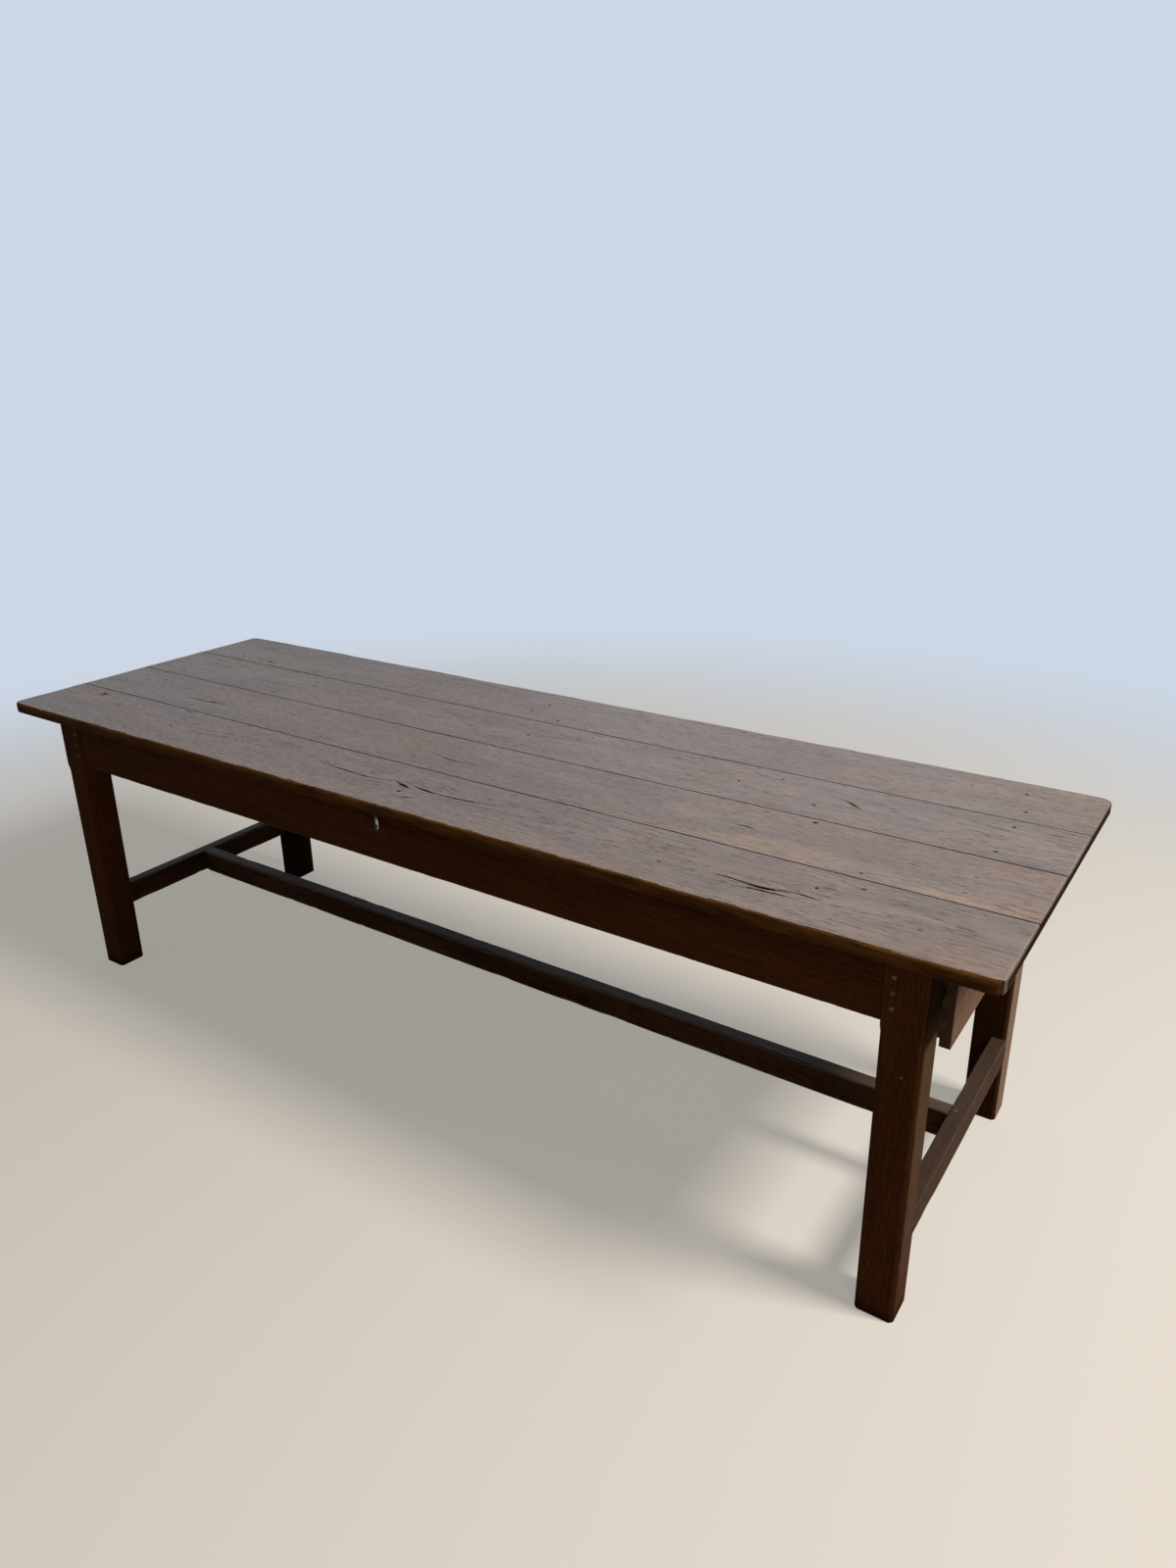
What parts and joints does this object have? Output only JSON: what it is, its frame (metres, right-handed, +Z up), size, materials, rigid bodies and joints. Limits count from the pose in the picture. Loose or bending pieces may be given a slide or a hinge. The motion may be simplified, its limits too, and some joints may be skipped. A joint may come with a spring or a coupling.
{
  "type": "farmhouse table",
  "caption": "Long farmhouse dining table with a plank top on a pegged oak frame, square chamfered legs, low H-shaped stretchers and a drawer that slides out of its end.",
  "frame": {"origin": "on the floor under the middle of the top", "axes": "+X along the length towards the end with the drawer, +Y towards the back, +Z up"},
  "size_m": [2.45, 0.78, 0.74],
  "materials": {
    "oak_top": "dark waxed oak, satin, worn",
    "oak_frame": "dark waxed oak, satin",
    "oak_peg": "riven oak, waxed",
    "oak_drawer": "plain oak, dry",
    "iron": "forged, darkened"
  },
  "bodies": {
    "table": {"top_plank_front": "oak_top", "top_plank_front_middle": "oak_top", "top_plank_back_middle": "oak_top", "top_plank_back": "oak_top", "leg_front_left": "oak_frame", "leg_front_right": "oak_frame", "leg_back_left": "oak_frame", "leg_back_right": "oak_frame", "rail_front": "oak_frame", "rail_back": "oak_frame", "rail_left_end": "oak_frame", "rail_over_drawer": "oak_frame", "cross_bearer": "oak_frame", "stretcher_left": "oak_frame", "stretcher_right": "oak_frame", "stretcher_long": "oak_frame", "drawer_bearer_left": "oak_frame", "drawer_bearer_right": "oak_frame", "drawer_stop_left": "oak_frame", "drawer_stop_right": "oak_frame", "rail_pegs": "oak_peg", "stretcher_pegs": "oak_peg", "leg_plug": "oak_peg", "top_nails": "iron", "iron_angle": "iron", "angle_screws": "iron", "bearer_nails": "iron"},
    "drawer": {"drawer_front": "oak_frame", "drawer_knob": "oak_frame", "drawer_side_left": "oak_drawer", "drawer_side_right": "oak_drawer", "drawer_back": "oak_drawer", "drawer_bottom_front_board": "oak_drawer", "drawer_bottom_back_board": "oak_drawer", "drawer_nails": "iron"}
  },
  "joints": [
    {"name": "drawer_slide", "type": "slide", "parent": "table", "child": "drawer", "axis": [1, 0, 0], "range_m": [-0.02, 0.38]}
  ]
}
